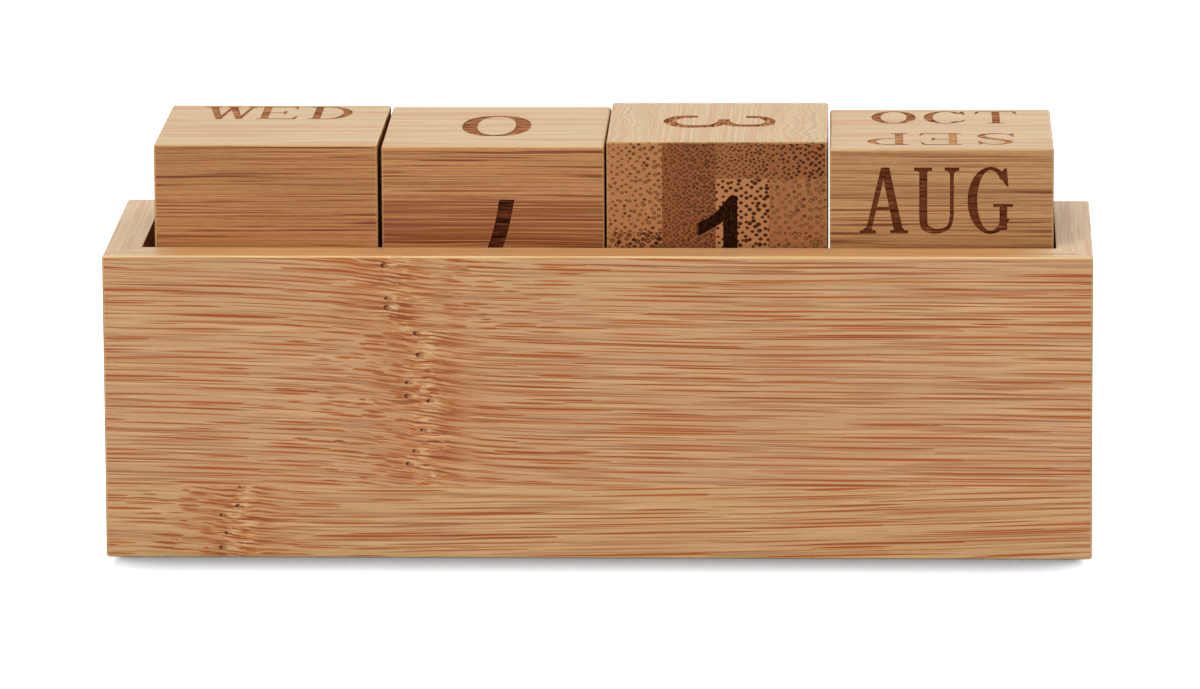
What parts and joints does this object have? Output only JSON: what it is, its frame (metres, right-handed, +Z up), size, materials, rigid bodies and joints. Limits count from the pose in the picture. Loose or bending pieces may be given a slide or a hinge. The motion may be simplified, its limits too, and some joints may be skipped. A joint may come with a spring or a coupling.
{
  "type": "desk calendar with drawer",
  "caption": "Bamboo perpetual desk calendar: loose day, date and month blocks on a shelf between a tall back board and end walls, over a shallow drawer.",
  "frame": {"origin": "middle of the underside of the case", "axes": "+Z up; +Y out of the front, the side that shows the date and has the drawer; X along the length"},
  "size_m": [0.133, 0.0406, 0.056],
  "materials": {
    "case_wood": "satin lacquered bamboo",
    "drawer_wood": "satin lacquered bamboo",
    "block_wood": "sanded bamboo, lightly oiled"
  },
  "bodies": {
    "case": {"back_board": "case_wood", "left_wall": "case_wood", "right_wall": "case_wood", "base_board": "case_wood", "shelf": "case_wood", "front_rail": "case_wood"},
    "drawer": {"drawer_front": "drawer_wood", "drawer_left_side": "drawer_wood", "drawer_right_side": "drawer_wood", "drawer_back": "drawer_wood", "drawer_bottom": "drawer_wood"},
    "day": {"day_block": "block_wood"},
    "units": {"units_block": "block_wood"},
    "tens": {"tens_block": "block_wood"},
    "month": {"month_block": "block_wood"}
  },
  "joints": [
    {"name": "drawer_slide", "type": "slide", "parent": "case", "child": "drawer", "axis": [0, 1, 0], "range_m": [0, 0.0275]},
    {"name": "day_lift", "type": "slide", "parent": "case", "child": "day", "axis": [0, 0, 1], "range_m": [0, 0.02]},
    {"name": "units_lift", "type": "slide", "parent": "case", "child": "units", "axis": [0, 0, 1], "range_m": [0, 0.02]},
    {"name": "tens_lift", "type": "slide", "parent": "case", "child": "tens", "axis": [0, 0, 1], "range_m": [0, 0.02]},
    {"name": "month_lift", "type": "slide", "parent": "case", "child": "month", "axis": [0, 0, 1], "range_m": [0, 0.02]}
  ]
}
